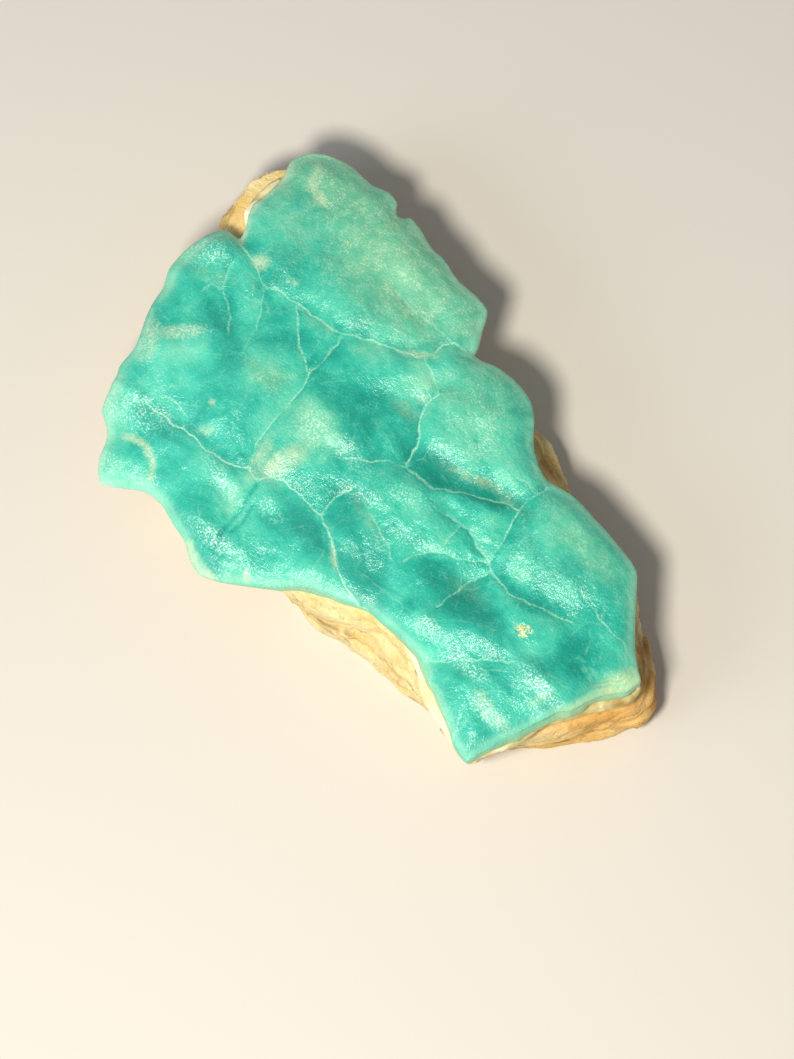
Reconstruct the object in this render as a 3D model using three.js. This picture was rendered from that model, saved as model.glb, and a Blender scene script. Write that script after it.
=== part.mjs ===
// Aragonite on matrix: a wavy blue-green crust on a thin cream layer, on a block of tan bedded rock.
// Millimetres, +Z up, foot on z = 0. The plan is drawn slanting, then turned to lay its length along X.
import * as THREE from "three";
import { ImprovedNoise } from "three/addons/math/ImprovedNoise.js";

// Heights above the foot.
const MATRIX_TOP = 18.2;
const GAP = 0.3;
const SELVAGE_THICKNESS = 1.7;
const SELVAGE_BOTTOM = MATRIX_TOP + GAP;
const SELVAGE_TOP = SELVAGE_BOTTOM + SELVAGE_THICKNESS;
const CRUST_BOTTOM = SELVAGE_TOP + GAP;
const CREST = 27.6;

// The drawn length runs down to the right at this angle.
const LENGTH_TURN = 50;

// Mesh steps along and across the crust, and round the matrix between two of its stations.
const STEPS_ALONG = 60;
const STEPS_ACROSS = 30;
const STEPS_PER_STATION = 2;
const RELAX_PASSES = 60;

// Outline of the crust in four sides, from the left tip to the top, right and bottom corners.
const LEFT_TIP = [-53.9, -4.5];
const TOP_CORNER = [-12.1, 66.2];
const RIGHT_CORNER = [53.5, -47];
const BOTTOM_CORNER = [19.2, -63.5];
const LEFT_SIDE = [
  LEFT_TIP,
  [-54.3, -1.6], [-53.4, 2.6], [-52.3, 5.3], [-52.8, 8.3], [-53.7, 10.8], [-52.3, 13.6], [-50.5, 16.9],
  [-49.9, 19.8], [-47.1, 23], [-44.8, 29.9], [-43.4, 33.2], [-41.2, 36.4], [-40, 40.5], [-37.3, 43.7],
  [-33.5, 46.6], [-29.9, 48.6], [-27.8, 48.3], [-26.4, 47.2], [-25.1, 50.2], [-23.9, 54.4], [-21.3, 57],
  [-17.8, 61.2], [-16, 64.6],
  TOP_CORNER,
];
const UPPER_SIDE = [
  TOP_CORNER,
  [-9, 65.8], [-6, 64.4], [-3.1, 62.7], [0.3, 59.3], [3.9, 57.6], [5.4, 55.4], [5.8, 52.2], [8.2, 52],
  [10.1, 49.4], [12.7, 44.6], [14.3, 43.3], [16.2, 40.3], [18.1, 37.4], [21.5, 34.4], [23.4, 31.7],
  [22.5, 27.7], [21.5, 23.4], [20.7, 21.9], [22.7, 20.3], [25.8, 18.7], [28.4, 16.5], [30.7, 13.8],
  [32.3, 11.4], [32.8, 8.1], [32.5, 4.9], [32.6, 1.6], [33.4, -1.6], [35.3, -5.3], [38, -6.9],
  [39.9, -8], [41.8, -9.8], [44.5, -13], [47.6, -16.3], [49.9, -19.6], [51.8, -22], [52.9, -24],
  [52.8, -27.7], [52.6, -31.5], [52.4, -36], [52.4, -41.3], [52.8, -44.4],
  RIGHT_CORNER,
];
const LOWER_SIDE = [
  LEFT_TIP,
  [-50.3, -5.2], [-45, -6.1], [-42.7, -7.8], [-40.4, -10.4], [-38.5, -13.7], [-36.6, -16.9],
  [-35.8, -19.7], [-34.3, -23.6], [-31.6, -25.1], [-27.4, -26.2], [-22.8, -27], [-18.2, -27.6],
  [-13.5, -27.8], [-11.2, -28.3], [-7.4, -29.6], [-3.9, -30.7], [-0.1, -32], [1.8, -34], [4.9, -36.9],
  [6.6, -38.8], [9.8, -42.3], [11.7, -47.3], [13.8, -52], [15.8, -56.8], [16.9, -60.6],
  BOTTOM_CORNER,
];
const RIGHT_SIDE = [
  BOTTOM_CORNER,
  [22.4, -61.7], [28.9, -58.4], [34.6, -55.5], [40.3, -53.4], [43.9, -51.2], [47.1, -50.1], [51, -49.3],
  RIGHT_CORNER,
];

// The crust falls away from its crest on both sides and towards both ends.
const ARCH = { fallLowerSide: 3.4, fallUpperSide: 2.4, halfWidth: 38, fallEnds: 1.7, halfLength: 66 };
// The last few millimetres before the edge are rounded off.
const RIM = { reach: 5, fall: 1.9 };
// Side of the crust from its edge down: share of the way down, and distance out. It bulges as a lip and
// is tucked in below.
const SIDE_ROWS = [
  [0.3, 0.15],
  [0.7, -0.25],
  [1, -1.1],
];

// Domes and hollows of the crust: centre x, centre y, half length, half width, turn in degrees, height.
const SWELLS = [
  [6, 42.5, 16, 8, -50, 1.1],
  [-21, 44, 10, 6, 60, 0.8],
  [-42, 21, 10, 5, 70, 0.9],
  [-26, 12.8, 10, 7, -45, 0.9],
  [22, 12.8, 9, 8, -50, 1.3],
  [-5, 4.3, 10, 4, -45, 0.9],
  [10, -12.8, 12, 5, -30, 1.1],
  [38, -21.3, 12, 7, -60, 1.2],
  [11, -35, 6, 4, -30, 0.9],
  [26, -42.6, 9, 3.5, -50, 1.2],
  [35, -47.9, 6, 2.6, -50, 1],
  [0, 33, 10, 6, -40, 0.5],
  [-14, -26, 8, 3, -10, 0.6],
  [-31, -17, 9, 4, -60, 1],
  [-32, 44, 6, 4, 30, 0.6],
  [-32, 30.9, 7, 3, 75, -0.9],
  [-18.2, 28.1, 6, 4, -60, -0.8],
  [0, 10.6, 10, 6, -40, -1.2],
  [18, -4.3, 10, 3, -27, -1],
  [-1.6, -23, 5, 4, -60, -1],
  [-5, -12.8, 7, 3, -70, -0.7],
  [-12.6, -14.3, 8, 3, -60, -0.5],
  [21, -30.9, 8, 4.5, -50, -0.9],
  [41.4, -40.6, 6, 4, -50, -0.9],
  [-43, -2, 4, 2, -60, -0.8],
];

// Valleys where neighbouring swells of the crust meet.
const VALLEY = { depth: 0.9, halfWidth: 2.6 };
const VALLEYS = [
  [[-26, 46.2], [-21, 36.8], [-8, 28.3], [6, 22.1], [14.4, 24.3], [20.8, 21.9]],
  [[-6, 26], [-11.6, 19.1], [-21.2, 5.5], [-24, -2.1]],
  [[-44.4, 11.7], [-35.4, 5], [-24.8, -1.7], [-14, -8.5], [-10, -11.6]],
  [[-10, -11.6], [-7.4, -19.1], [-5.4, -26.4], [0.2, -32.3]],
  [[-5, 0.4], [8.6, -2.7], [15.4, -6.4], [29.6, -10.6]],
  [[7, -1.3], [10.2, 9.8], [13.9, 14]],
  [[30.2, -10.4], [27.2, -16], [24, -21.7], [15.4, -11.5]],
  [[24, -23], [14.6, -30.6]],
  [[24, -23], [31.6, -30.5], [40, -34.3]],
  [[5.1, 36.4], [14.6, 27], [16.2, 25]],
  [[11.4, -42.8], [28.8, -43.2]],
];

// Where the cream layer stands out from under the crust: centre x, centre y, reach, distance out.
const SELVAGE_INSET = 1.7;
// Its side from the top down: share of the way down, and how far in from its fullest line.
const SELVAGE_ROWS = [
  [0, 0.3],
  [0.6, 0],
  [1, 0.2],
];
const SELVAGE_PROUD = [
  [-22, 58, 10, 3],
  [13, -50, 12, 3],
  [27, -59, 8, 1.5],
  [48, -50, 9, 2.4],
  [-35, -22, 6, 2.2],
];

// Stations round the matrix, clockwise from the left tip: x and y of its top edge, then how far the rock
// stands out beyond that edge at the belly and at the foot.
const MATRIX_STATIONS = [
  [-48.6, -3.4, -1.5, -4.4], [-49.5, 5, -1, -4.2], [-49, 13, -1, -4], [-45.5, 21.5, -0.5, -3.5],
  [-41, 32, -0.5, -3.5], [-37, 40, 0, -3.5], [-32.5, 46, 0.5, -2], [-29.4, 51, 1, -0.6],
  [-28, 56, 1.2, 0], [-25, 60.4, 1.2, -0.4], [-20.5, 64.4, 0.8, -1.4], [-14.5, 66, 0, -3],
  [-8, 63.6, -0.2, -3.5],
  [-3, 60.6, -0.5, -3.5], [2.2, 56, -0.8, -3.8], [5, 51.2, -0.8, -3], [9, 47, -0.8, -3.2],
  [13, 41.5, -1, -3.5], [18, 34.5, -1, -4], [20.5, 29.5, -1.5, -3.5], [19.6, 22, -0.5, -1.5],
  [26.5, 15.5, -0.8, -2], [31, 9, 2.4, 3.4], [32.4, 3.6, 4.6, 5.8], [35.4, -2.8, 4.8, 5.6],
  [40.5, -8.8, 1.6, 1.2], [46.3, -15.5, 0, -1], [51, -22.5, 1, 0.6], [51.8, -30, 2.6, 2],
  [52.4, -38, 3.8, 3], [52.8, -45.2, 3.2, 2.4], [48, -49.2, 2.4, 2], [41.5, -51.2, 2.8, 1.8],
  [35, -53.4, 2.2, 0.4], [28, -56.4, 0.6, -2.4], [19.6, -60.6, -0.8, -4.2], [14.8, -55, -0.6, -3],
  [12.8, -49.6, 0.2, -1.4], [10.8, -44.6, 1.4, 0.6], [7.2, -39.6, 2.4, 2.2],
  [3, -35.4, 2.4, 2.4], [-2, -31.8, 2, 2], [-8, -29.2, 1.8, 1.2], [-14, -27.6, 0.4, -2.4],
  [-21, -26, -1.5, -6.4], [-29, -24, -2, -6.8], [-33.6, -19, -2, -6.4], [-36.3, -13, -2, -6],
  [-41, -7.2, -2, -5.5],
];
const BELLY_HEIGHT = 11;

// Beds of the rock from the top down: height of the parting under each bed, and depth of its ledge.
const BEDS = [
  [15.6, 0.9],
  [12.6, 0.6],
  [9.4, 1],
  [6.6, 0.7],
  [3.6, 1],
];
const PARTING_HEIGHT = 0.6;
// Each ledge is deeper and shallower by this share, over this length, and never quite closes.
const LEDGE = { share: 0.55, swing: 0.9, wavelength: 9, shareAbove: 0.2 };
// The partings rise and fall by this height over this length, but not close to the top and the foot.
const WANDER = { height: 1.1, wavelength: 26, clear: 3 };
const FOOT_BEVEL = 0.8;
// Broken lumps of the rock face, as wavelength and depth. They fade out just below the top edge.
const LUMPS = [
  [11, 1.1],
  [4.5, 0.5],
];
const LUMP_FADE = 2;

const noise = new ImprovedNoise();

function mix(a, b, share) {
  return a + (b - a) * share;
}

function smooth(x) {
  const t = Math.min(Math.max(x, 0), 1);
  return t * t * (3 - 2 * t);
}

function bump(distance, reach) {
  return Math.exp(-((distance / reach) ** 2));
}

function distanceToSegment(x, y, [ax, ay], [bx, by]) {
  const dx = bx - ax;
  const dy = by - ay;
  const share = ((x - ax) * dx + (y - ay) * dy) / (dx * dx + dy * dy);
  const t = Math.min(Math.max(share, 0), 1);
  return Math.hypot(x - ax - t * dx, y - ay - t * dy);
}

function distanceToLine(x, y, points) {
  let nearest = Infinity;
  for (let i = 1; i < points.length; i++) {
    nearest = Math.min(nearest, distanceToSegment(x, y, points[i - 1], points[i]));
  }
  return nearest;
}

// Shares steps among the spans between named points by their length, so that each named point keeps a vertex.
function sampleSide(points, steps) {
  const lengths = points.slice(1).map(([x, y], i) => Math.hypot(x - points[i][0], y - points[i][1]));
  const shares = lengths.map(() => 1);
  for (let spare = steps - shares.length; spare > 0; spare--) {
    const longest = lengths.map((length, i) => length / shares[i]);
    shares[longest.indexOf(Math.max(...longest))]++;
  }
  const curve = new THREE.CatmullRomCurve3(points.map(([x, y]) => new THREE.Vector3(x, y, 0)), false);
  const sampled = [];
  shares.forEach((share, span) => {
    for (let k = 0; k < share; k++) {
      sampled.push(curve.getPoint((span + k / share) / shares.length));
    }
  });
  sampled.push(curve.getPoint(1));
  return sampled;
}

const lower = sampleSide(LOWER_SIDE, STEPS_ALONG);
const upper = sampleSide(UPPER_SIDE, STEPS_ALONG);
const left = sampleSide(LEFT_SIDE, STEPS_ACROSS);
const right = sampleSide(RIGHT_SIDE, STEPS_ACROSS);

// The outline as one loop, anticlockwise from the left tip.
const crustLoop = [
  ...lower.slice(0, -1),
  ...right.slice(0, -1),
  ...upper.slice(1).reverse(),
  ...left.slice(1).reverse(),
].map((p) => [p.x, p.y]);
const closedCrustLoop = [...crustLoop, crustLoop[0]];

function crustHeight(x, y, edgeDistance) {
  const turn = THREE.MathUtils.degToRad(LENGTH_TURN);
  const along = x * Math.cos(turn) - y * Math.sin(turn);
  const across = x * Math.sin(turn) + y * Math.cos(turn);
  const sideFall = across < 0 ? ARCH.fallLowerSide : ARCH.fallUpperSide;
  let z = CREST - sideFall * (across / ARCH.halfWidth) ** 2 - ARCH.fallEnds * (along / ARCH.halfLength) ** 2;
  for (const [cx, cy, halfLength, halfWidth, degrees, height] of SWELLS) {
    const angle = THREE.MathUtils.degToRad(degrees);
    const u = ((x - cx) * Math.cos(angle) + (y - cy) * Math.sin(angle)) / halfLength;
    const v = ((y - cy) * Math.cos(angle) - (x - cx) * Math.sin(angle)) / halfWidth;
    z += height * bump(Math.hypot(u, v), 1);
  }
  const nearest = Math.min(...VALLEYS.map((line) => distanceToLine(x, y, line)));
  z -= VALLEY.depth * bump(nearest, VALLEY.halfWidth);
  z -= RIM.fall * Math.max(1 - edgeDistance / RIM.reach, 0) ** 2;
  return z;
}

// Four-sided patch: the plan position of each grid point is blended from the four sides, and the points
// inside it are then moved towards the middle of their neighbours, so that no cell folds over at a notch.
function patchGrid() {
  const grid = [];
  for (let i = 0; i <= STEPS_ALONG; i++) {
    const s = i / STEPS_ALONG;
    grid.push([]);
    for (let j = 0; j <= STEPS_ACROSS; j++) {
      const t = j / STEPS_ACROSS;
      const blend = (axis) => {
        const between = mix(lower[i][axis], upper[i][axis], t) + mix(left[j][axis], right[j][axis], s);
        const nearEnd = mix(lower[0][axis], upper[0][axis], t);
        const farEnd = mix(lower[STEPS_ALONG][axis], upper[STEPS_ALONG][axis], t);
        return between - mix(nearEnd, farEnd, s);
      };
      grid[i].push([blend("x"), blend("y")]);
    }
  }
  for (let pass = 0; pass < RELAX_PASSES; pass++) {
    for (let i = 1; i < STEPS_ALONG; i++) {
      for (let j = 1; j < STEPS_ACROSS; j++) {
        const around = [grid[i - 1][j], grid[i + 1][j], grid[i][j - 1], grid[i][j + 1]];
        grid[i][j] = [0, 1].map((axis) => around.reduce((sum, p) => sum + p[axis], 0) / around.length);
      }
    }
  }
  return grid;
}

// Twice the plan area of a triangle, above zero where it faces up.
function planArea(a, b, c) {
  return (b[0] - a[0]) * (c[1] - a[1]) - (b[1] - a[1]) * (c[0] - a[0]);
}

function outwardNormals(loop) {
  const count = loop.length;
  return loop.map((_, i) => {
    const [ax, ay] = loop[(i + count - 1) % count];
    const [bx, by] = loop[(i + 1) % count];
    const length = Math.hypot(bx - ax, by - ay);
    return [(by - ay) / length, (ax - bx) / length];
  });
}

function offsetLoop(loop, distance) {
  const normals = outwardNormals(loop);
  return loop.map(([x, y], i) => {
    const out = typeof distance === "function" ? distance(x, y, i) : distance;
    return [x + normals[i][0] * out, y + normals[i][1] * out];
  });
}

// Collects the vertices and faces of one closed body.
class Body {
  positions = [];
  faces = [];

  addRow(loop, height) {
    const first = this.positions.length / 3;
    loop.forEach(([x, y], i) => this.positions.push(x, y, height(x, y, i)));
    return loop.map((_, i) => first + i);
  }

  // Joins two anticlockwise rows of equal count, the first above the second.
  addBand(above, below) {
    above.forEach((a, i) => {
      const next = (i + 1) % above.length;
      this.faces.push(a, below[i], below[next], a, below[next], above[next]);
    });
  }

  addCap(loop, row, facesUp) {
    const flat = loop.map(([x, y]) => new THREE.Vector2(x, y));
    for (const [a, b, c] of THREE.ShapeUtils.triangulateShape(flat, [])) {
      this.faces.push(...(facesUp ? [row[a], row[b], row[c]] : [row[a], row[c], row[b]]));
    }
  }

  mesh(name, material) {
    const geometry = new THREE.BufferGeometry();
    geometry.setAttribute("position", new THREE.Float32BufferAttribute(this.positions, 3));
    geometry.setIndex(this.faces);
    geometry.computeVertexNormals();
    const mesh = new THREE.Mesh(geometry, material);
    mesh.name = name;
    return mesh;
  }
}

function makeCrust() {
  const body = new Body();
  const plan = patchGrid();
  const topHeight = (x, y) => crustHeight(x, y, distanceToLine(x, y, closedCrustLoop));
  const grid = plan.map((column) => body.addRow(column, topHeight));
  for (let i = 0; i < STEPS_ALONG; i++) {
    for (let j = 0; j < STEPS_ACROSS; j++) {
      const corners = [[i, j], [i + 1, j], [i + 1, j + 1], [i, j + 1]];
      const [a, b, c, d] = corners.map(([m, n]) => grid[m][n]);
      const [pa, pb, pc, pd] = corners.map(([m, n]) => plan[m][n]);
      // Each cell is halved along the diagonal that gives the fuller halves.
      const firstWay = Math.min(planArea(pa, pb, pc), planArea(pa, pc, pd));
      const secondWay = Math.min(planArea(pa, pb, pd), planArea(pb, pc, pd));
      body.faces.push(...(firstWay > secondWay ? [a, b, c, a, c, d] : [a, b, d, b, c, d]));
    }
  }
  let above = [
    ...grid.slice(0, -1).map((column) => column[0]),
    ...grid[STEPS_ALONG].slice(0, -1),
    ...grid.slice(1).map((column) => column[STEPS_ACROSS]).reverse(),
    ...grid[0].slice(1).reverse(),
  ];
  const edgeHeights = crustLoop.map(([x, y]) => crustHeight(x, y, 0));
  let loop = crustLoop;
  for (const [share, out] of SIDE_ROWS) {
    loop = offsetLoop(crustLoop, out);
    const row = body.addRow(loop, (x, y, i) => mix(edgeHeights[i], CRUST_BOTTOM, share));
    body.addBand(above, row);
    above = row;
  }
  body.addCap(loop, above, false);
  return body.mesh("aragonite_crust", new THREE.MeshStandardMaterial({ color: 0x35b9a2, roughness: 0.3 }));
}

// A closed body from loops stacked from the top down, capped at both ends.
function stack(loops, heights) {
  const body = new Body();
  const rows = loops.map((loop, k) => body.addRow(loop, heights[k]));
  body.addCap(loops[0], rows[0], true);
  for (let k = 1; k < rows.length; k++) {
    body.addBand(rows[k - 1], rows[k]);
  }
  body.addCap(loops.at(-1), rows.at(-1), false);
  return body;
}

function selvageOut(x, y) {
  let out = -SELVAGE_INSET;
  for (const [cx, cy, reach, distance] of SELVAGE_PROUD) {
    out += distance * bump(Math.hypot(x - cx, y - cy), reach);
  }
  return out;
}

function makeSelvage() {
  const loops = SELVAGE_ROWS.map(([, inset]) => offsetLoop(crustLoop, (x, y) => selvageOut(x, y) - inset));
  const heights = SELVAGE_ROWS.map(([share]) => () => mix(SELVAGE_TOP, SELVAGE_BOTTOM, share));
  const body = stack(loops, heights);
  return body.mesh("cream_selvage", new THREE.MeshStandardMaterial({ color: 0xf3ead0, roughness: 0.6 }));
}

function makeMatrix() {
  const stations = [...MATRIX_STATIONS].reverse();
  const edge = new THREE.CatmullRomCurve3(stations.map(([x, y]) => new THREE.Vector3(x, y, 0)), true);
  const reach = new THREE.CatmullRomCurve3(stations.map(([, , b, f]) => new THREE.Vector3(b, f, 0)), true);
  const count = stations.length * STEPS_PER_STATION;
  const shares = Array.from({ length: count }, (_, i) => i / count);
  const topEdge = shares.map((share) => edge.getPoint(share)).map((p) => [p.x, p.y]);
  const outs = shares.map((share) => reach.getPoint(share));

  const faceOut = (i, z) => {
    const upperPart = smooth((MATRIX_TOP - z) / (MATRIX_TOP - BELLY_HEIGHT));
    const lowerPart = smooth((BELLY_HEIGHT - z) / BELLY_HEIGHT);
    return mix(mix(0, outs[i].x, upperPart), outs[i].y, lowerPart);
  };
  const rowAt = (z, ledge) =>
    offsetLoop(topEdge, (x, y, i) => {
      const swing = noise.noise(x / LEDGE.wavelength, y / LEDGE.wavelength, z);
      let out = faceOut(i, z) - ledge * (LEDGE.share + LEDGE.swing * swing);
      for (const [wavelength, depth] of LUMPS) {
        const lump = noise.noise(x / wavelength, y / wavelength, z / wavelength + depth);
        out += depth * smooth((MATRIX_TOP - z) / LUMP_FADE) * lump;
      }
      return out;
    });

  const levels = [[MATRIX_TOP, 0]];
  for (const [height, ledge] of BEDS) {
    levels.push([height + PARTING_HEIGHT, ledge * LEDGE.shareAbove]);
    levels.push([height, ledge]);
  }
  levels.push([FOOT_BEVEL, 0]);
  levels.push([0, FOOT_BEVEL]);

  const loops = levels.map(([z, ledge]) => rowAt(z, ledge));
  const heights = levels.map(([z]) => (x, y) => {
    const free = smooth(z / WANDER.clear) * smooth((MATRIX_TOP - z) / WANDER.clear);
    const wave = noise.noise(x / WANDER.wavelength, y / WANDER.wavelength, z / MATRIX_TOP);
    return z + WANDER.height * free * wave;
  });
  const body = stack(loops, heights);
  return body.mesh("matrix", new THREE.MeshStandardMaterial({ color: 0xc99f5e, roughness: 0.9 }));
}

const specimen = new THREE.Group();
specimen.add(makeCrust(), makeSelvage(), makeMatrix());
specimen.rotation.z = THREE.MathUtils.degToRad(LENGTH_TURN);

// The origin lies under the middle of the specimen's box, on the plane of its foot.
const part = new THREE.Group();
part.add(specimen);
const centre = new THREE.Box3().setFromObject(part, true).getCenter(new THREE.Vector3());
specimen.position.set(-centre.x, -centre.y, 0);

export default part;
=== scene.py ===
import math

import bmesh
import bpy
import numpy as np
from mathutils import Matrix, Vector, noise
from mathutils.kdtree import KDTree


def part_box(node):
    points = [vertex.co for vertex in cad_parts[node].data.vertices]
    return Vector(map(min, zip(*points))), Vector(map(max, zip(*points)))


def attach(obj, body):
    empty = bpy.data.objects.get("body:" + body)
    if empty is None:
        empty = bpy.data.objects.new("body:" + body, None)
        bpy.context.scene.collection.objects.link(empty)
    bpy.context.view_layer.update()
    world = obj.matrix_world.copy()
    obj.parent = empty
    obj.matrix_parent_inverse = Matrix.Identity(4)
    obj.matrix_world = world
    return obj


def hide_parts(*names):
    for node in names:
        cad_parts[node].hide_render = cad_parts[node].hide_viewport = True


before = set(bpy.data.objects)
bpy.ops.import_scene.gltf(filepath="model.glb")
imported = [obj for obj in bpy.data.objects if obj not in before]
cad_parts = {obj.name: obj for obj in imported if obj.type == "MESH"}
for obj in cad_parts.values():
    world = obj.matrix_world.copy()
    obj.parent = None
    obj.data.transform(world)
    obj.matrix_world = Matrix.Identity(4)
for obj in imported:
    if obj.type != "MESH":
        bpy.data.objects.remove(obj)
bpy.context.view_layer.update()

MM = 0.001

# Heights of the flat faces between the layers, in mm.
CRUST_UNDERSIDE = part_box("aragonite_crust")[0].z / MM
SELVAGE_LEVELS = [corner.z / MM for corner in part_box("cream_selvage")]
MATRIX_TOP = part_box("matrix")[1].z / MM
LAYER_GAP = CRUST_UNDERSIDE - SELVAGE_LEVELS[1]

# Without a seed of its own, noise_vector takes one from the clock.
noise.seed_set(1)

# The photograph's viewpoint: its right is turned by 50 degrees from the frame's X, its camera looks down at
# 70 degrees, and ZERO_PIXEL shows the point DRAWING_ZERO of the frame, in mm.
IMAGE_WIDTH, IMAGE_HEIGHT = 794, 1059
VIEW_TURN = math.radians(50)
VIEW_RISE = math.radians(70)
CAMERA_DISTANCE = 1400
FLOOR_HALF_WIDTH = 1500
CLIP_RANGE = (0.01, 20)
PIXELS_PER_MM = 5
DRAWING_ZERO = np.array([-4.2, 2.1, 22.4])
ZERO_PIXEL = np.array([370, 460])

RIGHT = np.array([math.cos(VIEW_TURN), math.sin(VIEW_TURN), 0])
BACK = np.array([
    math.sin(VIEW_TURN) * math.cos(VIEW_RISE),
    -math.cos(VIEW_TURN) * math.cos(VIEW_RISE),
    math.sin(VIEW_RISE),
])
UP = np.cross(BACK, RIGHT)
AIM_PIXEL = np.array([IMAGE_WIDTH / 2, IMAGE_HEIGHT / 2])
AIM = (
    DRAWING_ZERO
    + RIGHT * (AIM_PIXEL[0] - ZERO_PIXEL[0]) / PIXELS_PER_MM
    - UP * (AIM_PIXEL[1] - ZERO_PIXEL[1]) / PIXELS_PER_MM
)


def photo_place(points):
    """Where points of the frame, in mm, lie in the photograph, in its pixels."""
    from_aim = points - AIM
    nearness = CAMERA_DISTANCE / (CAMERA_DISTANCE - from_aim @ BACK)
    across = AIM_PIXEL[0] + PIXELS_PER_MM * nearness * (from_aim @ RIGHT)
    down = AIM_PIXEL[1] - PIXELS_PER_MM * nearness * (from_aim @ UP)
    return np.stack([across, down], axis=1)


# Healed cracks between the swells of the crust, as lines through pixels of the photograph, each with how
# clearly it shows: 1 is plain.
SEAMS = [
    (1.0, [(240, 243), (252, 258), (260, 276), (265, 286), (282, 292), (299, 304), (316, 318), (330, 327),
           (340, 333), (360, 336), (384, 346), (400, 352), (416, 356), (432, 354), (442, 346), (454, 344),
           (464, 349), (474, 357)]),
    (0.6, [(265, 286), (262, 302), (259, 318), (256, 326)]),
    (0.8, [(296, 306), (298, 326), (299, 346), (306, 360), (310, 370)]),
    (0.8, [(340, 338), (336, 346), (324, 360), (312, 370), (304, 386), (294, 398), (276, 418), (264, 434),
           (256, 446), (252, 462), (250, 470)]),
    (1.4, [(148, 405), (164, 416), (174, 424), (183, 428), (193, 437), (202, 447), (212, 454), (223, 461),
           (235, 467), (246, 468)]),
    (0.7, [(156, 389), (166, 397), (176, 402), (185, 414)]),
    (1.0, [(250, 470), (258, 481), (271, 478), (283, 480), (292, 487), (300, 494), (310, 504), (320, 514)]),
    (1.0, [(320, 514), (325, 525), (331, 538), (333, 550), (333, 560), (337, 571), (343, 584), (352, 597),
           (363, 606), (371, 612)]),
    (0.8, [(320, 514), (327, 508), (334, 498), (348, 489), (352, 486)]),
    (0.8, [(345, 458), (369, 460), (386, 461), (401, 466), (413, 472), (424, 481), (434, 488), (447, 490),
           (462, 492), (478, 496), (493, 499), (506, 504), (518, 510)]),
    (1.0, [(405, 466), (411, 456), (416, 447), (419, 435), (419, 424), (421, 414), (424, 406), (432, 399),
           (439, 394)]),
    (0.8, [(424, 357), (430, 370), (436, 382), (439, 394)]),
    (0.8, [(518, 510), (526, 502), (536, 494), (546, 487)]),
    (0.6, [(536, 494), (528, 484), (517, 475)]),
    (0.8, [(521, 509), (512, 521), (506, 535), (499, 548), (490, 562)]),
    (0.8, [(490, 562), (482, 550), (474, 538), (464, 527), (459, 521), (447, 514)]),
    (0.8, [(490, 562), (490, 568), (482, 574), (466, 582), (455, 592), (443, 604), (438, 607)]),
    (0.8, [(490, 568), (499, 579), (508, 592), (528, 603), (546, 610), (557, 617), (570, 621)]),
    (0.5, [(489, 562), (478, 560), (462, 558), (447, 554), (432, 551), (416, 553), (403, 561)]),
    (0.5, [(459, 525), (451, 535), (444, 544)]),
    (0.8, [(427, 661), (445, 661), (471, 661), (493, 661), (514, 663)]),
    (0.4, [(491, 670), (514, 674)]),
    (0.5, [(395, 289), (405, 300), (416, 312), (430, 323), (443, 333), (451, 342)]),
    (0.5, [(202, 289), (212, 283), (222, 287), (227, 273), (233, 262)]),
    (0.5, [(222, 287), (225, 298), (231, 316), (227, 333)]),
    (0.5, [(357, 500), (369, 508), (378, 527), (386, 544), (392, 560)]),
    (0.6, [(580, 592), (596, 611), (605, 626), (620, 638), (629, 654)]),
    (0.5, [(319, 166), (310, 182), (315, 195), (327, 205)]),
]
# Open hairline cracks.
DARK_CRACKS = [
    [(258, 483), (251, 494), (244, 506), (234, 519), (225, 529), (214, 546)],
    [(252, 506), (243, 522), (232, 532)],
]

# Soft patches, in pixels of the photograph: centre, half length, half width, degrees clockwise from the
# picture's right, and strength. First come the crust's: deeper teal that is partly painted shade in hollows
# and on flanks turned from the light, and paler mint that is partly painted light on lit crests.
DEEP_AND_SHADED = [
    (216, 312, 30, 20, 90, 0.8), (279, 328, 32, 20, 60, 0.7), (370, 410, 56, 34, 40, 0.45),
    (430, 465, 34, 16, 35, 0.9), (490, 495, 36, 14, 25, 0.9), (362, 568, 28, 24, 60, 1.0),
    (372, 592, 22, 14, 40, 0.9), (350, 520, 36, 18, 65, 0.7), (307, 527, 38, 18, 55, 0.7),
    (475, 605, 40, 26, 45, 0.9), (577, 660, 32, 20, 40, 0.7), (165, 425, 34, 12, 35, 0.6),
    (440, 575, 28, 18, 30, 0.6), (530, 600, 30, 14, 30, 0.7), (180, 500, 40, 20, 50, 0.4),
    (230, 350, 30, 24, 60, 0.4),
]
# Paler mint, partly painted light on crests that the light falls on.
PALE_AND_LIT = [
    (112, 415, 24, 40, 15, 0.9), (103, 468, 22, 24, 0, 0.9), (160, 520, 56, 16, 55, 0.6),
    (176, 262, 40, 14, -55, 0.6), (185, 350, 36, 14, 0, 0.5), (300, 170, 34, 22, -40, 0.6),
    (318, 405, 40, 24, 50, 0.4), (285, 228, 34, 34, 0, 0.5), (232, 506, 44, 16, 50, 0.7),
    (385, 425, 30, 16, 40, 0.3), (418, 386, 18, 22, 60, 0.7), (480, 462, 56, 14, 30, 0.6),
]
# A frost of fine grains that turns the crust green-grey.
FROST = [
    (400, 262, 100, 60, 50, 1.0), (345, 195, 52, 40, 50, 0.9), (470, 320, 30, 24, 60, 0.8),
    (480, 400, 52, 42, 60, 0.5), (560, 545, 56, 34, 55, 0.2), (292, 232, 36, 44, 20, 0.2),
    (312, 425, 34, 20, 40, 0.6), (296, 176, 34, 22, -40, 0.7), (268, 376, 26, 16, 20, 0.6),
    (582, 545, 56, 16, 48, 0.6),
]
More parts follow.
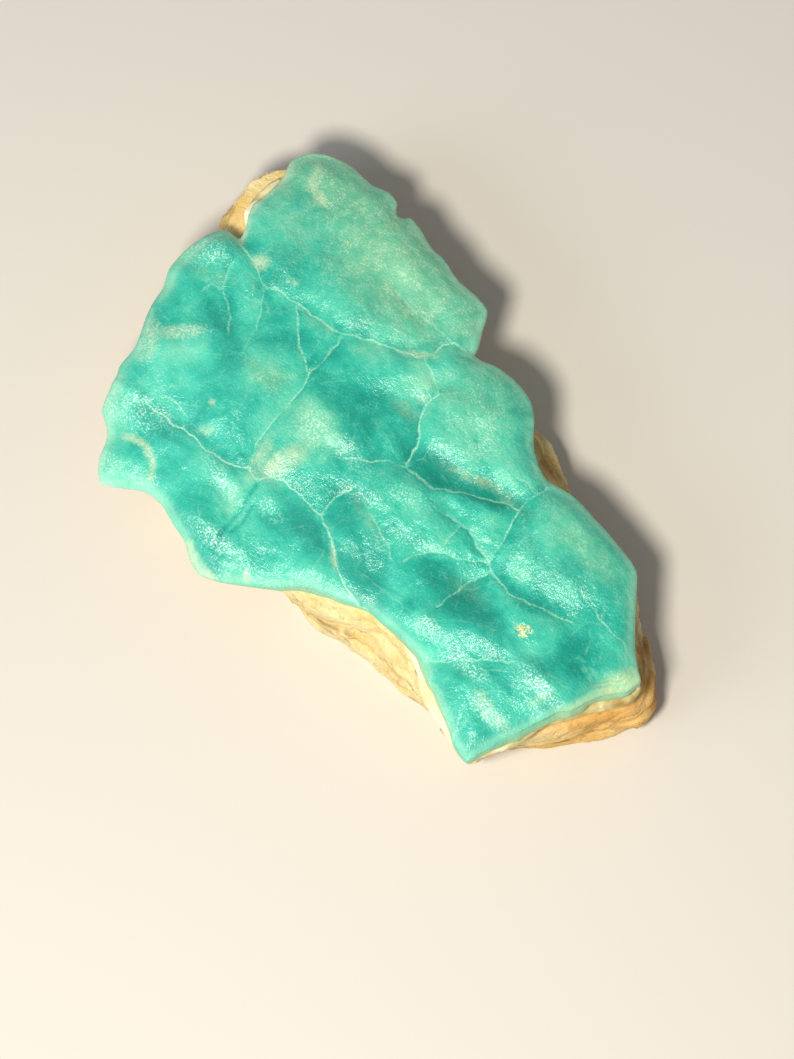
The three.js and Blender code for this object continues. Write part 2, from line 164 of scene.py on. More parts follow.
# Sugary crystals on gentle flanks that catch the light; their white specks are partly a painted highlight.
SUGAR_AND_HIGHLIGHT = [
    (207, 252, 24, 12, -10, 0.9), (130, 408, 40, 18, 20, 0.9), (109, 464, 12, 11, 0, 0.9),
    (152, 480, 9, 6, 0, 0.9), (224, 484, 30, 9, 55, 1.0), (269, 508, 16, 9, 50, 0.8),
    (214, 538, 30, 9, 40, 1.0), (221, 573, 13, 9, 0, 0.6), (305, 590, 28, 6, 18, 0.8),
    (315, 428, 24, 16, 55, 0.6), (352, 458, 30, 8, 45, 0.5), (365, 494, 24, 8, 30, 0.8),
    (408, 496, 26, 9, 20, 0.6), (410, 538, 24, 9, 30, 0.6), (421, 392, 10, 8, 0, 0.6),
    (480, 448, 13, 11, 0, 0.5), (437, 445, 9, 9, 0, 0.5), (430, 625, 14, 7, 50, 1.0),
    (466, 666, 28, 8, 38, 1.1), (543, 690, 34, 8, 48, 1.3), (485, 708, 22, 10, 70, 0.4),
    (500, 724, 22, 9, 50, 0.4), (536, 708, 12, 8, 0, 0.6), (516, 555, 13, 13, 0, 0.4),
    (150, 345, 8, 26, 10, 0.5), (190, 331, 24, 7, 0, 0.6),
]
# Chalky cream.
CREAM = [
    (260, 262, 10, 9, 0, 0.8), (261, 458, 30, 9, -62, 0.6), (282, 462, 30, 13, -28, 0.85),
    (205, 431, 10, 6, 0, 0.45), (212, 403, 4, 4, 0, 0.6), (247, 577, 4, 7, 0, 0.8),
    (484, 706, 16, 9, 65, 0.5), (501, 724, 14, 8, 50, 0.35), (540, 700, 16, 7, -20, 0.4),
    (316, 176, 16, 8, 110, 0.7), (318, 195, 14, 6, 50, 0.7), (150, 340, 10, 22, 20, 0.6),
    (178, 331, 28, 8, -5, 0.6), (196, 562, 20, 5, 65, 0.9), (292, 282, 10, 6, 20, 0.3),
    (416, 354, 22, 4, 5, 0.6), (333, 556, 4, 16, -8, 0.7), (524, 575, 12, 10, 0, 0.3),
    (424, 398, 10, 5, -40, 0.4), (430, 692, 56, 6, 64, 0.6),
]
# Bluer turquoise.
COOL = [(180, 400, 110, 90, 60, 1.0), (320, 560, 130, 50, 35, 0.8), (490, 680, 90, 50, 40, 0.8)]
# Chalky lines: a curved edge of growth, and the thin rim over the ledge.
CREAM_LINES = [
    [(124, 436), (133, 438), (142, 443), (148, 450), (152, 458), (153, 467), (150, 478)],
    [(192, 545), (196, 558), (202, 569), (212, 578)],
    [(241, 242), (245, 226), (250, 212), (259, 201), (270, 191), (280, 182), (287, 172), (291, 161)],
]
# Brownish dirt in the hollows.
DIRT = [
    (476, 478, 34, 6, 22, 1.0), (505, 495, 16, 6, 40, 0.6), (405, 408, 16, 8, 40, 0.8),
    (214, 275, 22, 7, 15, 0.5), (368, 520, 30, 7, 62, 0.5), (470, 590, 24, 10, 35, 0.3),
]
# Thin growth bands along the rim.
LAMINAE = [(620, 684, 30, 12, -24, 1.2), (580, 706, 40, 6, -30, 0.7)]
CALCITE_SPOT = [(524, 631, 12, 10, 30, 1.0)]
# Where the selvage is clean and white.
WHITE_WEDGE = [
    (412, 655, 24, 9, 65, 1.0), (258, 205, 46, 14, -58, 0.6), (440, 715, 40, 7, 62, 0.8),
]
# Rust on the rock, which on its shaded right side and in a dark corner also stands in for painted shade,
# golden colour, and where it is pale.
RUST_AND_SHADE = [
    (236, 236, 9, 7, 0, 0.9), (628, 708, 26, 9, -15, 0.6), (590, 722, 34, 10, -15, 0.6),
    (648, 655, 66, 14, 84, 1.3), (552, 474, 40, 20, 50, 0.9), (395, 655, 14, 5, 45, 0.2),
]
GOLDEN = [(606, 712, 60, 28, -15, 1.2), (232, 215, 24, 16, -60, 0.5), (560, 745, 40, 14, -15, 0.6)]
PALE = [(370, 662, 110, 34, 45, 0.8), (255, 200, 50, 20, -60, 0.6), (596, 724, 60, 18, -15, 0.8)]
# Chunks of the rock that show no beds.
MASSIVE = [
    (612, 705, 60, 30, -15, 0.9), (648, 660, 50, 16, 85, 0.8), (245, 200, 54, 26, -56, 1.0),
    (399, 648, 16, 10, 40, 1.0),
]
# Where the crust overhangs the matrix and hides it.
TUCKED = [
    (140, 492, 40, 24, 15, 1.5), (120, 440, 30, 14, 80, 0.6), (200, 572, 26, 20, 60, 1.0),
    (250, 594, 44, 18, 8, 1.2), (590, 744, 44, 12, -15, 0.4),
]
# Where the selvage shows beyond the crust, where the crust's rim swells out, and where it is notched.
BARED = [(258, 205, 46, 14, -58, 1.0), (425, 690, 60, 10, 66, 0.3)]
SWOLLEN = [(205, 235, 90, 40, -50, 0.6), (320, 160, 50, 16, 0, 0.6), (118, 370, 30, 16, -70, 0.3)]
NOTCHED = [
    (401, 214, 5, 6, 0, 1.5), (100, 448, 7, 6, 0, 0.8), (540, 486, 6, 4, 0, 0.7),
    (258, 205, 46, 12, -58, 1.25),
]
# Where the rock juts out beyond the crust.
JUTTING = [(258, 188, 36, 18, -50, 0.9), (642, 718, 20, 18, 0, 0.8)]
# Where the rim of the crust slopes outwards to its foot, and so shows from above.
SLOPING = [(555, 728, 100, 26, -24, 1.0), (432, 690, 60, 18, 62, 0.6), (330, 596, 60, 16, 12, 0.5)]
# Flanks of the crust that turn away from the light.
AWAY = [(548, 612, 46, 20, 30, 0.6), (286, 280, 20, 12, 30, 0.5), (372, 592, 26, 16, 40, 1.0)]
# Where the crust is even, without ripples.
CALM = [
    (548, 596, 60, 44, 40, 0.9), (366, 582, 40, 26, 45, 0.8), (300, 335, 36, 26, 60, 0.6),
    (577, 655, 34, 24, 40, 0.6),
]
# The side that the photograph's light comes from, in the picture.
LIGHTWARD = np.array([-0.45, 0.89])

# Relief of the crust, in mm. A healed seam lies in a narrow groove between broad shoulders.
SEAM_WANDER, CREAM_WANDER = 0.5, 0.3
SHOULDER_RISE, SHOULDER_WIDTH = 0.3, 2.2
GROOVE_DEPTH, GROOVE_WIDTH = 0.1, 0.45
DARK_CRACK_DEPTH, DARK_CRACK_WIDTH, DARK_LINE_WIDTH = 0.25, 0.45, 0.4
SKIN_HEIGHT, SKIN_WAVE = 0.06, 1.3
CALCITE_HEIGHT, CALCITE_WAVE = 0.25, 0.9
# How steeply the flanks in these patches lean to or from the light.
SUGAR_SLOPE, DEEP_SLOPE, AWAY_SLOPE = 0.2, 0.15, 0.2
# The ripples: height, wavelength along X, Y and Z, and where in the noise each starts.
CRUST_RIPPLES = [(0.42, (11, 6.5, 11), 2.3), (0.22, (5, 3.2, 5), 5.9)]
# The rim: its swell all round, the depth of a full notch, and how far a sloping rim stands out at its foot,
# with how much less over how much height.
RIM_SWELL, NOTCH_DEPTH = 0.1, 1.3
SLOPE_FOOT, SLOPE_LOSS, SLOPE_HEIGHT = 1.1, 1.6, 3.5
# Width of the painted glow and edge highlight along the rim, and of the paler and darker sides of a seam.
PAINTED_GLOW_WIDTH, SEAM_SIDE_WIDTH, CREAM_LINE_WIDTH = 0.45, 2.5, 0.9

# The selvage: its lumps as height, wavelength and start in the noise, and how far it stands out where bared.
SELVAGE_LUMPS = [(0.5, (6, 6, 3), 4.4), (0.2, (1.5, 1.5, 0.8), 7.7)]
BARED_REACH, SLOPING_REACH = 1.3, 0.8
TUCK_DEPTH = 1.8

# Beds of the rock, in mm, and where in a bed's height the parting to the next one lies.
BED_HEIGHT = 2.9
PARTING_AT = 0.86
BED_STEP, BED_RUN, TINT_RUN = 1.1, 12, 60
PARTING_DEPTH, PARTING_WIDTH, CRACK_LINE_WIDTH = 0.4, 0.22, 0.16
JUT = 1.3
# Chips and swells of the rock: height, size and start in the noise.
ROCK_CHIPS = [(0.45, (6, 6, 3.6), 0.7), (0.2, (2.4, 2.4, 1.5), 3.1)]
ROCK_SWELLS = [(0.9, 12, 3.3), (0.12, 1.1, 5.1)]

# Folds: the bend from which an edge counts as one, and the passes of easing, first wide and then narrow.
FOLD_ANGLE = math.radians(92)
WIDE_PASSES, NARROW_PASSES = 16, 8

# Tolerances in mm: for merging a solid's doubles, for telling a flat face, and for cutting one.
MERGE_WITHIN, FLAT_WITHIN, CUT_WITHIN = 0.005, 0.02, 0.01
# Any two triangles that meet at less than this may become a four-sided face.
JOIN_ANGLE = 3.1


def distance_to_lines(places, lines):
    """The gap in mm from each place to the nearest line, the side it lies on, and that line's clearness."""
    nearest = np.full(len(places), np.inf)
    side = np.ones(len(places))
    strength = np.zeros(len(places))
    for weight, line in lines:
        for start, end in zip(line, line[1:]):
            start, step = np.array(start, float), np.subtract(end, start).astype(float)
            offset = places - start
            share = np.clip(offset @ step / (step @ step), 0, 1)
            gap = np.linalg.norm(offset - share[:, None] * step, axis=1)
            closer = gap < nearest
            nearest[closer] = gap[closer]
            side[closer] = np.sign(step[0] * offset[:, 1] - step[1] * offset[:, 0])[closer]
            strength[closer] = weight
    return nearest / PIXELS_PER_MM, side, strength


def gap_to(places, lines):
    """The gap in mm from each place to the nearest of lines that all show alike."""
    return distance_to_lines(places, [(1.0, line) for line in lines])[0]


def patches(places, spots):
    """How strongly the soft patches cover each place."""
    total = np.zeros(len(places))
    for x, y, half_length, half_width, degrees, strength in spots:
        turn = math.radians(degrees)
        dx, dy = places[:, 0] - x, places[:, 1] - y
        along = (dx * math.cos(turn) + dy * math.sin(turn)) / half_length
        across = (dy * math.cos(turn) - dx * math.sin(turn)) / half_width
        total = np.maximum(total, strength * np.exp(-(along**2 + across**2) ** 1.5))
    return total


def tilts(places, spots, slope):
    """The height in mm of gentle flanks that face the light, one in each soft patch."""
    height = np.zeros(len(places))
    for x, y, half_length, half_width, degrees, strength in spots:
        lightward = (places - (x, y)) @ LIGHTWARD / PIXELS_PER_MM
        weight = patches(places, [(x, y, half_length * 1.2, half_width * 1.4, degrees, strength)])
        height -= slope * weight * lightward
    return height


def ripple(points, wavelength, shift=0.0):
    """Smooth noise from about -1 to 1. The wavelength in mm is one number or one for each axis."""
    scaled = points / np.asarray(wavelength, float) + shift
    return np.array([noise.noise(Vector(p)) for p in scaled])


def layered(points, waves):
    """Ripples of several sizes on top of each other, in mm."""
    return sum(height * ripple(points, wavelength, shift) for height, wavelength, shift in waves)


def smooth(x):
    """Eases from 0 to 1 while x goes from 0 to 1."""
    t = np.clip(x, 0, 1)
    return t * t * (3 - 2 * t)


def positions(mesh):
    """The mesh's points, in mm."""
    values = np.empty(len(mesh.vertices) * 3)
    mesh.vertices.foreach_get("co", values)
    return values.reshape(-1, 3) / MM


def normals(mesh):
    """The direction that each point of the mesh faces."""
    values = np.empty(len(mesh.vertices) * 3, np.float32)
    mesh.vertex_normals.foreach_get("vector", values)
    return values.reshape(-1, 3).astype(float)


def place(mesh, points):
    """Moves the mesh's points to these places, in mm."""
    mesh.vertices.foreach_set("co", (points * MM).astype(np.float32).ravel())
    mesh.update()


def relax(work, verts, factor):
    """Moves each point part of the way to the middle of its neighbours."""
    bmesh.ops.smooth_vert(work, verts=verts, factor=factor, use_axis_x=True, use_axis_y=True, use_axis_z=True)


def ease_folds(mesh):
    """Relaxes the surface where its relief has folded it over itself."""
    work = bmesh.new()
    work.from_mesh(mesh)
    for wide in [True] * WIDE_PASSES + [False] * NARROW_PASSES:
        folded = [e for e in work.edges if e.calc_face_angle(0) > FOLD_ANGLE]
        loose = {v for e in folded for f in (e.link_faces if wide else [e]) for v in f.verts}
        relax(work, list(loose), 0.8)
    work.to_mesh(mesh)
    work.free()


def store(mesh, name, values):
    """Keeps a number for each point on the mesh, for a material to read."""
    attribute = mesh.attributes.new(name, "FLOAT", "POINT")
    attribute.data.foreach_set("value", np.asarray(values, np.float32))


def layer_sway(points):
    """The layers rise and sink together by about a millimetre, apart from the foot."""
    free = smooth(points[:, 2] / 12)
    flat = points * [1, 1, 0]
    return free * (1.0 * ripple(flat, 26, 3.7) + 0.4 * ripple(flat, 9, 8.1))


def draw_in(points, places):
    """Draws the points towards the middle of the specimen where the crust hides what lies under it."""
    inward = -points[:, :2] / np.linalg.norm(points[:, :2], axis=1)[:, None].clip(1)
    points[:, :2] += TUCK_DEPTH * inward * patches(places, TUCKED)[:, None]


def start_from(node):
    """A working copy of a solid of the frame, with its doubles merged."""
    work = bmesh.new()
    work.from_mesh(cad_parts[node].data)
    bmesh.ops.remove_doubles(work, verts=work.verts, dist=MERGE_WITHIN * MM)
    return work


def flat_faces(work, height):
    """The faces that lie flat at this height, in mm."""
    return [f for f in work.faces if all(abs(v.co.z / MM - height) < FLAT_WITHIN for v in f.verts)]


def cut_into_squares(work, height, step):
    """Cuts the flat faces at this height along a square grid, so that they can follow a relief."""
    spread = [v.co for f in flat_faces(work, height) for v in f.verts]
    for axis in range(2):
        across = Vector((axis == 0, axis == 1, 0))
        low = min(p[axis] for p in spread) / MM
        high = max(p[axis] for p in spread) / MM
        for at in np.arange(low + step / 2, high, step):
            faces = [f for f in flat_faces(work, height)
                     if min(v.co[axis] for v in f.verts) < at * MM < max(v.co[axis] for v in f.verts)]
            edges = {e for f in faces for e in f.edges}
            verts = {v for f in faces for v in f.verts}
            bmesh.ops.bisect_plane(
                work, geom=[*verts, *edges, *faces], dist=CUT_WITHIN * MM,
                plane_co=across * at * MM, plane_no=across,
            )


def refine(work, faces, cuts, passes):
    """Cuts the faces into small ones and relaxes them, so that the facets of the solid melt away."""
    faces = set(faces)
    pairs = bmesh.ops.join_triangles(
        work, faces=list(faces), angle_face_threshold=JOIN_ANGLE, angle_shape_threshold=JOIN_ANGLE,
    )
    faces = {f for f in faces if f.is_valid} | set(pairs["faces"])
    mark = work.verts.layers.int.new("refined")
    for vert in {v for f in faces for v in f.verts}:
        vert[mark] = 1
    edges = list({e for f in faces for e in f.edges})
    cut = bmesh.ops.subdivide_edges(work, edges=edges, cuts=cuts, use_grid_fill=True)
    for vert in {v for v in cut["geom_inner"] if isinstance(v, bmesh.types.BMVert)}:
        vert[mark] = 1
    verts = [v for v in work.verts if v[mark]]
    for _ in range(passes):
        relax(work, verts, 0.5)


def finish_piece(work, name, node, material):
    """Makes the worked shape a piece that replaces its solid."""
    mesh = bpy.data.meshes.new(name)
    work.to_mesh(mesh)
    work.free()
    mesh.materials.append(material)
    mesh.polygons.foreach_set("use_smooth", [True] * len(mesh.polygons))
    piece = bpy.data.objects.new(name, mesh)
    bpy.context.scene.collection.objects.link(piece)
    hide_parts(node)
    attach(piece, "root")
    return piece


def linear(code):
    """An sRGB hex colour as linear red, green, blue and alpha."""
    channels = [int(code[i:i + 2], 16) / 255 for i in (1, 3, 5)]
    return [c / 12.92 if c <= 0.04045 else ((c + 0.055) / 1.055) ** 2.4 for c in channels] + [1]


def add(tree, kind, inputs=None, stops=None, **settings):
    """Adds a node with its own settings, its input values or links, and the stops of a ramp."""
    made = tree.nodes.new(kind)
    for name, value in settings.items():
        setattr(made, name, value)
    for name, value in (inputs or {}).items():
        socket = made.inputs[name]
        if isinstance(value, bpy.types.NodeSocket):
            tree.links.new(value, socket)
        else:
            socket.default_value = value
    if stops:
        elements = made.color_ramp.elements
        while len(elements) < len(stops):
            elements.new(0.5)
        for element, (at, colour) in zip(elements, stops):
            element.position = at
            element.color = colour
    return made


def new_material(name):
    """A material with an empty node tree."""
    material = bpy.data.materials.new(name)
    material.use_nodes = True
    tree = material.node_tree
    tree.nodes.clear()
    return material, tree


def repeats(width):
    """The scale of a pattern whose grains are this wide, in mm."""
    return 1 / MM / width


# Sockets of the colour mix.
MIX_FACTOR, MIX_A, MIX_B, MIX_RESULT = 0, 6, 7, 2
# What the crust's mesh stores for its material.
CRUST_MARKS = (
    "depth_and_shading", "frost", "cool", "sugar_and_highlight", "cream", "dirt", "laminae", "calcite", "rim", "rim_gap", "step",
    "seam_clearness", "seam_across", "above", "flank",
)


def waxy_aragonite():
    # Massive blue aragonite, grown in place: waxy and a little translucent, deep teal where it is thick and
    # mint where it thins, with painted shade in its hollows, painted light on lit crests and a painted glow
    # along its rim. Its healed cracks are pale, and a crumb of fine crystals breaks up every highlight; its
    # white specks on the sugary flanks are partly painted highlight.
    material, tree = new_material("waxy blue aragonite")
    spot = add(tree, "ShaderNodeTexCoord").outputs["Object"]
    stored = {name: add(tree, "ShaderNodeAttribute", attribute_name=name).outputs["Fac"]
              for name in CRUST_MARKS}

    clouds = add(tree, "ShaderNodeTexNoise", {"Vector": spot, "Scale": repeats(10), "Detail": 6.0,
                                              "Roughness": 0.6, "Distortion": 0.5}).outputs["Fac"]
    clumps = add(tree, "ShaderNodeTexNoise", {"Vector": spot, "Scale": repeats(2.6), "Detail": 4.0,
                                              "Roughness": 0.65}).outputs["Fac"]
    fine = add(tree, "ShaderNodeTexNoise", {"Vector": spot, "Scale": repeats(1.1), "Detail": 3.0,
                                            "Roughness": 0.6}).outputs["Fac"]
    dust = add(tree, "ShaderNodeTexNoise", {"Vector": spot, "Scale": repeats(0.42), "Detail": 2.0,
                                            "Roughness": 0.6}).outputs["Fac"]
    grains = add(tree, "ShaderNodeMapRange", {"Value": dust, "From Min": 0.5, "From Max": 0.64}).outputs[0]
    patchy = add(tree, "ShaderNodeMapRange", {"Value": clumps, "From Min": 0.4, "From Max": 0.62}).outputs[0]

    # Body: clouds about a centimetre wide, darker in the deep patches, which are partly painted shade,
    # lighter where painted light falls on crests, in the frosted ones and in the painted glow along the rim,
    # with a step of tone from one side of a healed crack to the other. The finest grain is 0.42 mm, two
    # pixels wide.
    level = add(tree, "ShaderNodeMath", {0: clouds, 1: 1.1, 2: -0.2}, operation="MULTIPLY_ADD").outputs[0]
    for mark, share in (("depth_and_shading", -0.34), ("frost", 0.1), ("rim", 0.1), ("step", 0.14)):
        level = add(tree, "ShaderNodeMath", {0: stored[mark], 1: share, 2: level},
                    operation="MULTIPLY_ADD").outputs[0]
    for pattern, share in ((clumps, 0.22), (dust, 0.12)):
        level = add(tree, "ShaderNodeMath", {0: pattern, 1: share, 2: level},
                    operation="MULTIPLY_ADD").outputs[0]
    colour = add(tree, "ShaderNodeValToRGB", {"Fac": level}, stops=[
        (0.22, linear("#149A8A")), (0.42, linear("#26B29F")), (0.58, linear("#42C6AE")),
        (0.76, linear("#66D2B6")), (1.0, linear("#98DFC0")),
    ]).outputs["Color"]

    # Layers of colour over the body, each with how far it covers.
    greened = add(tree, "ShaderNodeMath", {0: stored["frost"], 1: 0.6}, operation="MULTIPLY").outputs[0]
    cooled = add(tree, "ShaderNodeMath", {0: stored["cool"], 1: clouds}, operation="MULTIPLY").outputs[0]
    cooled = add(tree, "ShaderNodeMath", {0: cooled, 1: 0.5}, operation="MULTIPLY").outputs[0]
    frosting = add(tree, "ShaderNodeMath", {0: grains, 1: 0.75, 2: 0.15}, operation="MULTIPLY_ADD").outputs[0]
    frosting = add(tree, "ShaderNodeMath", {0: frosting, 1: patchy}, operation="MULTIPLY").outputs[0]
    frosting = add(tree, "ShaderNodeMath", {0: frosting, 1: stored["frost"]}, operation="MULTIPLY").outputs[0]
    glint = add(tree, "ShaderNodeMath", {0: grains, 1: patchy}, operation="MULTIPLY").outputs[0]
    glint = add(tree, "ShaderNodeMath", {0: glint, 1: 0.16}, operation="MULTIPLY").outputs[0]
    seam_gap = add(tree, "ShaderNodeMath", {0: stored["seam_across"]}, operation="ABSOLUTE").outputs[0]
    seam = add(tree, "ShaderNodeMapRange", {"Value": seam_gap, "From Min": 0.32, "From Max": 0.04},
               interpolation_type="SMOOTHSTEP").outputs[0]
    seam = add(tree, "ShaderNodeMath", {0: seam, 1: stored["seam_clearness"]},
               operation="MULTIPLY").outputs[0]
    sparkle = add(tree, "ShaderNodeMath", {0: dust, 1: 3.0, 2: -0.75}, operation="MULTIPLY_ADD",
                  use_clamp=True).outputs[0]
    seam = add(tree, "ShaderNodeMath", {0: seam, 1: sparkle}, operation="MULTIPLY").outputs[0]
    bent = add(tree, "ShaderNodeTexNoise", {"Vector": spot, "Scale": repeats(12),
                                            "Detail": 3.0}).outputs["Color"]
    wandering = add(tree, "ShaderNodeMix", {MIX_FACTOR: 0.006, MIX_A: spot, MIX_B: bent},
                    data_type="RGBA").outputs[MIX_RESULT]
    web = add(tree, "ShaderNodeTexVoronoi", {"Vector": wandering, "Scale": repeats(11)},
              feature="DISTANCE_TO_EDGE").outputs["Distance"]
    web = add(tree, "ShaderNodeMapRange", {"Value": web, "From Max": 0.02, "To Min": 0.4,
                                           "To Max": 0.0}).outputs[0]
    web = add(tree, "ShaderNodeMath", {0: web, 1: patchy}, operation="MULTIPLY").outputs[0]
    # White specks on the sugary flanks: fine crystals, partly a painted highlight.
    crumbs_and_highlight = add(tree, "ShaderNodeMath", {0: grains, 1: stored["sugar_and_highlight"]}, operation="MULTIPLY").outputs[0]
    crumbs_and_highlight = add(tree, "ShaderNodeMath", {0: crumbs_and_highlight, 1: 0.7}, operation="MULTIPLY").outputs[0]
    # Painted glow and edge highlight along the thin rim.
    painted_rim_glow = add(tree, "ShaderNodeMath", {0: stored["rim"], 1: 0.4}, operation="MULTIPLY").outputs[0]
    ragged = add(tree, "ShaderNodeMath", {0: clumps, 1: 1.6, 2: -0.8}, operation="MULTIPLY_ADD").outputs[0]
    ragged = add(tree, "ShaderNodeMath", {0: dust, 1: 1.8, 2: ragged}, operation="MULTIPLY_ADD").outputs[0]
    chalk = add(tree, "ShaderNodeMath", {0: stored["cream"], 1: ragged}, operation="MULTIPLY").outputs[0]
    chalk = add(tree, "ShaderNodeMapRange", {"Value": chalk, "From Min": 0.1, "From Max": 0.95,
                                             "To Max": 0.75}).outputs[0]
    dirt = add(tree, "ShaderNodeMath", {0: fine, 1: 2.4, 2: -0.8}, operation="MULTIPLY_ADD",
               use_clamp=True).outputs[0]
    dirt = add(tree, "ShaderNodeMath", {0: dirt, 1: stored["dirt"]}, operation="MULTIPLY").outputs[0]
    dirt = add(tree, "ShaderNodeMath", {0: dirt, 1: 0.7}, operation="MULTIPLY").outputs[0]
    # Growth bands: thin waves of tone along the rim on top, and along the height on the flank.
    waves = []
    for mark, width, bend in (("rim_gap", 0.8, 14.0), ("above", 0.7, 6.0)):
        phase = add(tree, "ShaderNodeMath", {0: stored[mark], 1: 2 * math.pi / width},
                    operation="MULTIPLY").outputs[0]
        phase = add(tree, "ShaderNodeMath", {0: clouds, 1: bend, 2: phase},
                    operation="MULTIPLY_ADD").outputs[0]
        wave = add(tree, "ShaderNodeMath", {0: phase}, operation="SINE").outputs[0]
        waves.append(add(tree, "ShaderNodeMath", {0: wave, 1: 0.16, 2: 0.5},
                         operation="MULTIPLY_ADD").outputs[0])
    bands = add(tree, "ShaderNodeMath", {0: waves[0], 1: stored["laminae"]}, operation="MULTIPLY").outputs[0]
    flank = add(tree, "ShaderNodeMath", {0: waves[1], 1: stored["flank"]}, operation="MULTIPLY").outputs[0]
    root = add(tree, "ShaderNodeMapRange", {"Value": stored["above"], "From Min": 1.5, "From Max": 0.2,
                                            "To Max": 0.8}).outputs[0]
    root = add(tree, "ShaderNodeMath", {0: root, 1: stored["flank"]}, operation="MULTIPLY").outputs[0]
    crystals = add(tree, "ShaderNodeMath", {0: fine, 1: 1.3, 2: stored["calcite"]},
                   operation="MULTIPLY_ADD").outputs[0]
    crystals = add(tree, "ShaderNodeMath", {0: dust, 1: 1.6, 2: crystals},
                   operation="MULTIPLY_ADD").outputs[0]
    crystals = add(tree, "ShaderNodeMapRange", {"Value": crystals, "From Min": 2.28, "From Max": 2.42,
                                                "To Max": 0.95}).outputs[0]
    for cover, code in (
        (greened, "#7CC096"), (cooled, "#5CDCCB"), (frosting, "#C2E0B8"), (glint, "#B4EFDF"),
        (web, "#8FDDBE"), (seam, "#AAEAD0"), (painted_rim_glow, "#B2E8CE"), (crumbs_and_highlight, "#DDF7EC"), (chalk, "#D0E6C2"),
        (dirt, "#B0B685"), (bands, "#CBE0A8"), (flank, "#A2C692"), (root, "#CBD3A0"), (crystals, "#EBDD9B"),
    ):
        colour = add(tree, "ShaderNodeMix", {MIX_FACTOR: cover, MIX_A: colour, MIX_B: linear(code)},
                     data_type="RGBA").outputs[MIX_RESULT]

    gloss = add(tree, "ShaderNodeMath", {0: stored["frost"], 1: 0.25, 2: 0.14},
                operation="MULTIPLY_ADD").outputs[0]
    gloss = add(tree, "ShaderNodeMath", {0: fine, 1: 0.14, 2: gloss}, operation="MULTIPLY_ADD").outputs[0]
    coarse_bump = add(tree, "ShaderNodeBump", {"Height": fine, "Strength": 0.8, "Distance": 0.2 * MM})
    fine_bump = add(tree, "ShaderNodeBump", {
        "Height": dust, "Strength": 0.9, "Distance": 0.14 * MM, "Normal": coarse_bump.outputs["Normal"],
    })
    shader = add(tree, "ShaderNodeBsdfPrincipled", {
        "Base Color": colour, "Roughness": gloss, "Normal": fine_bump.outputs["Normal"],
        "Subsurface Weight": 0.12, "Subsurface Scale": 1.5 * MM,
    })
    add(tree, "ShaderNodeOutputMaterial", {"Surface": shader.outputs["BSDF"]})
    return material


def chalky_selvage():
    # A fibrous cream layer at the root of the crust, dull as chalk.
    material, tree = new_material("chalky cream aragonite")
    spot = add(tree, "ShaderNodeTexCoord").outputs["Object"]
    clean = add(tree, "ShaderNodeAttribute", attribute_name="clean").outputs["Fac"]
    stain = add(tree, "ShaderNodeTexNoise", {"Vector": spot, "Scale": repeats(5),
                                             "Detail": 5.0}).outputs["Fac"]
    stain = add(tree, "ShaderNodeMath", {0: clean, 1: 0.3, 2: stain}, operation="MULTIPLY_ADD").outputs[0]
    colour = add(tree, "ShaderNodeValToRGB", {"Fac": stain}, stops=[
        (0.3, linear("#A98A50")), (0.45, linear("#C9BC80")),
        (0.6, linear("#E4DDAF")), (0.78, linear("#F6EFD6")),
    ]).outputs["Color"]
    grain = add(tree, "ShaderNodeTexNoise", {"Vector": spot, "Scale": repeats(0.8),
                                             "Detail": 3.0}).outputs["Fac"]
    bump = add(tree, "ShaderNodeBump", {"Height": grain, "Strength": 0.6, "Distance": 0.12 * MM})
    shader = add(tree, "ShaderNodeBsdfPrincipled", {
        "Base Color": colour, "Roughness": 0.8, "Normal": bump.outputs["Normal"],
    })
    add(tree, "ShaderNodeOutputMaterial", {"Surface": shader.outputs["BSDF"]})
    return material


